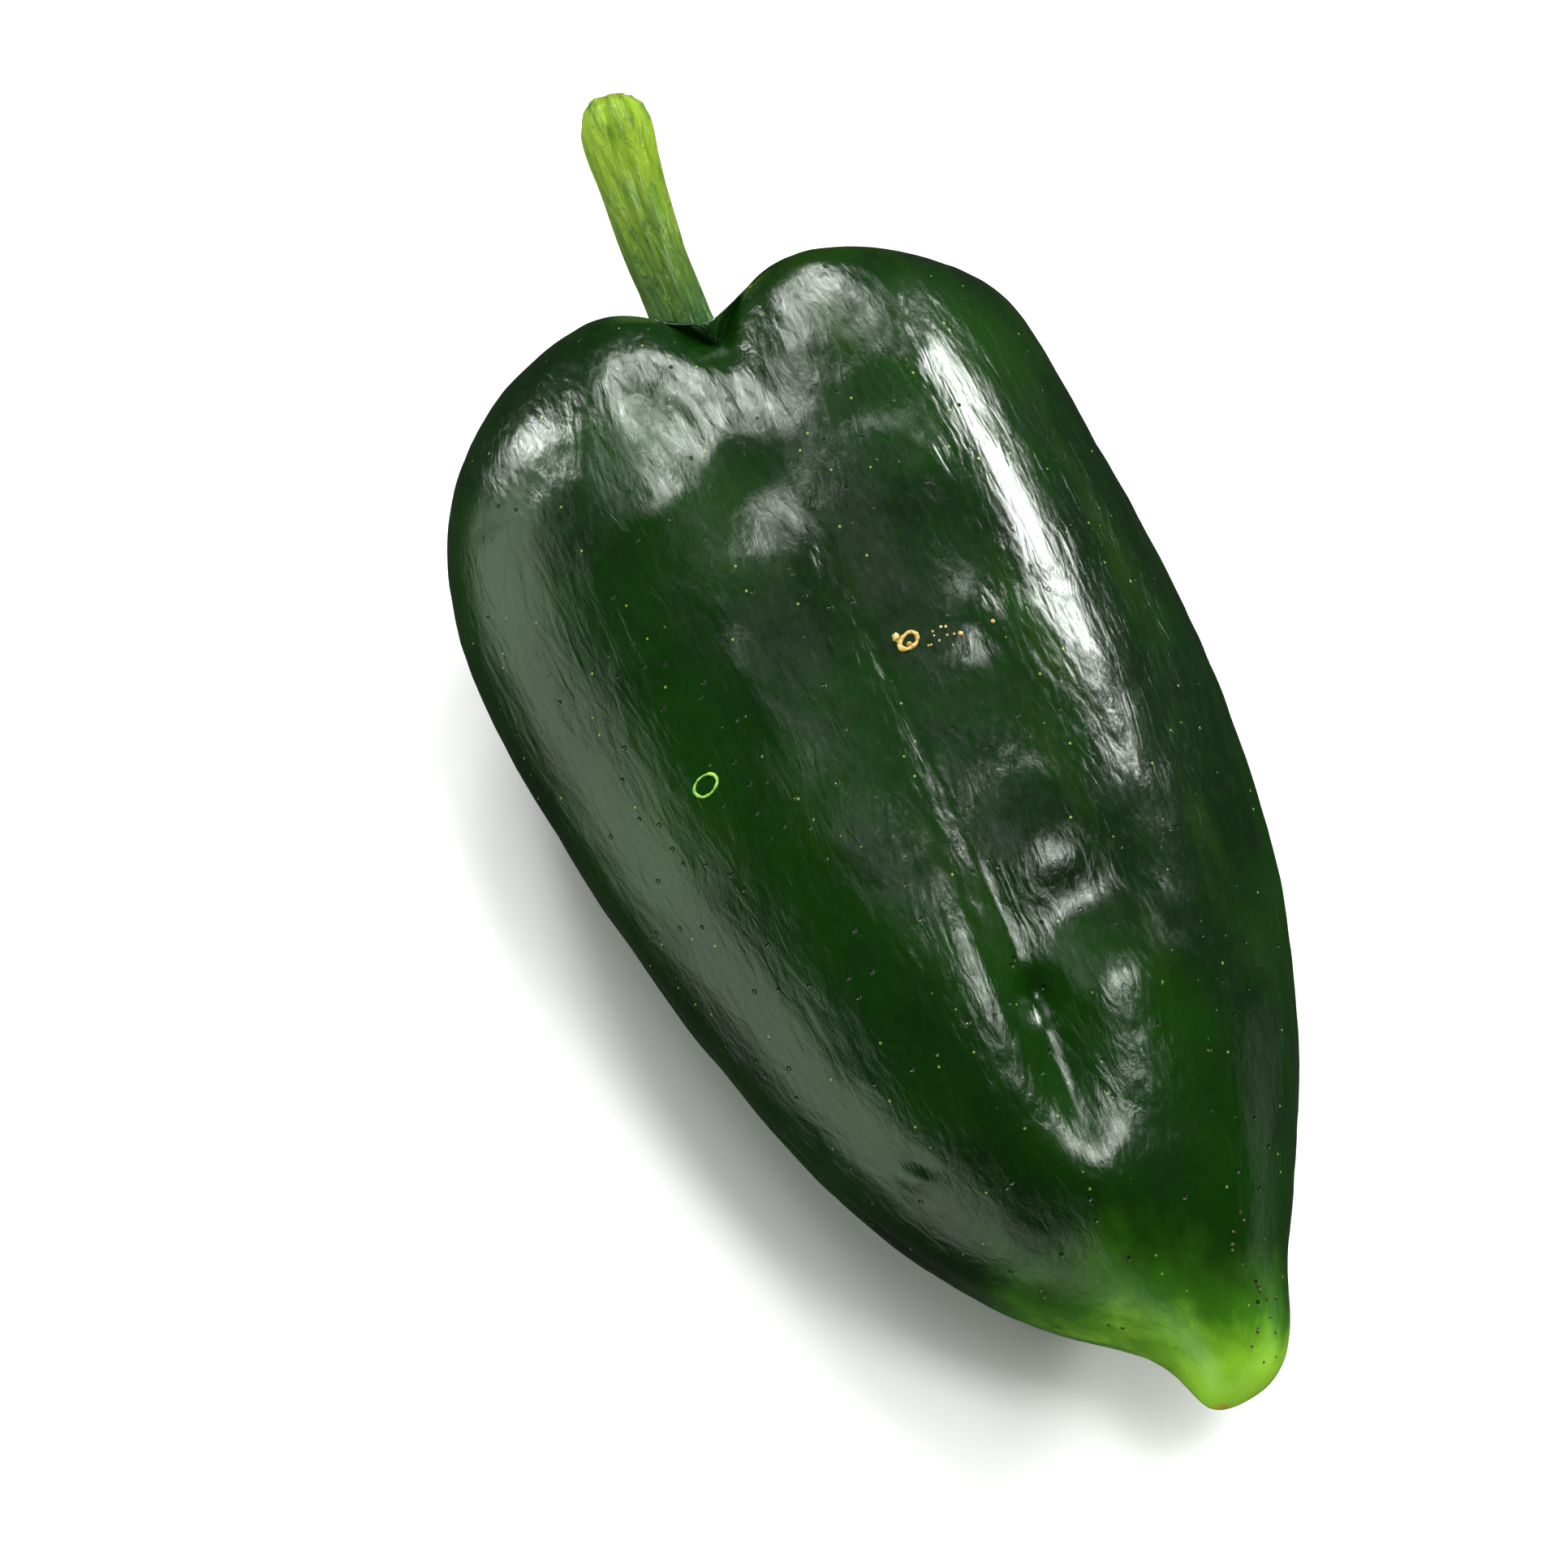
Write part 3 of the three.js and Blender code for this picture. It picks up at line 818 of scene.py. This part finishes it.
def softbox(name, turn, height, width, tall, power, distance=SOFTBOX_DISTANCE):
    """A flat light that faces the pepper: degrees from the camera's way and above the table."""
    turn = math.radians(turn) - CAMERA_TURN
    height = math.radians(height)
    away = Vector(
        (
            math.sin(turn) * math.cos(height),
            math.cos(turn) * math.cos(height),
            math.sin(height),
        )
    )
    bpy.ops.object.light_add(type="AREA", location=HOME + away * distance)
    lamp = bpy.context.object
    lamp.name = name
    lamp.data.shape = "RECTANGLE"
    lamp.data.size = width
    lamp.data.size_y = tall
    lamp.data.energy = power
    lamp.rotation_mode = "QUATERNION"
    lamp.rotation_quaternion = away.to_track_quat("Z", "Y")
    return lamp


softbox("back_softbox", -1, 34, 0.22, 0.20, 2.6)
softbox("high_back_softbox", -8, 50, 0.13, 0.10, 0.26)
softbox("shoulder_softbox", -27, 44, 0.13, 0.36, 3.4)
softbox("left_softbox", -48, 54, 0.10, 0.18, 0.32)
softbox("far_left_softbox", -60, 16, 0.10, 0.38, 3.4)
softbox("right_softbox", 45, 21, 0.26, 0.14, 7.6)
softbox("small_right_softbox", 16, 39, 0.09, 0.14, 0.7)
softbox("top_left_softbox", -85, 78, 0.14, 0.10, 0.14)
softbox("top_softbox", -10, 70, 0.18, 0.09, 0.07)
softbox("tip_softbox", 101, 75, 0.18, 0.17, 2.2)
fill = softbox("fill_softbox", 60, 72, 1.2, 1.2, 15, distance=1.2)
fill.visible_glossy = False

# The room: dark overhead and ahead, with a pale wall low on both sides and behind the camera,
# taller and brighter on the left.
ROOM_DIM = 0.04
world = bpy.data.worlds.new("studio")
world.use_nodes = True
tree = world.node_tree
ways = tree.nodes.new("ShaderNodeTexCoord").outputs["Generated"]
height = add(tree, "ShaderNodeSeparateXYZ", {}, Vector=ways).outputs["Z"]


def toward(tree, ways, direction):
    """How far each way points in a level direction, from -1 to 1."""
    dot = tree.nodes.new("ShaderNodeVectorMath")
    dot.operation = "DOT_PRODUCT"
    dot.inputs[1].default_value = direction
    tree.links.new(ways, dot.inputs[0])
    return dot.outputs["Value"]


behind = toward(tree, ways, (math.sin(CAMERA_TURN), -math.cos(CAMERA_TURN), 0))
leftward = toward(tree, ways, -right)
above_wall = sum_of(tree, height, between(tree, leftward, -0.4, 0.5, 0.0, 0.36), "SUBTRACT")
wall = between(tree, above_wall, -0.03, 0.03, 1.0, 0.0)
wall = sum_of(tree, wall, between(tree, height, -0.50, -0.12), "MULTIPLY")
wall = sum_of(tree, wall, between(tree, behind, -0.40, -0.22), "MULTIPLY")
wall = sum_of(tree, wall, between(tree, leftward, -0.1, 0.9, 0.5, 2.0), "MULTIPLY")
brightness = sum_of(tree, wall, ROOM_DIM)
tree.nodes["Background"].inputs["Color"].default_value = (0.84, 1.0, 0.78, 1)
tree.links.new(brightness, tree.nodes["Background"].inputs["Strength"])
bpy.context.scene.world = world
bpy.context.scene.view_settings.view_transform = "Standard"
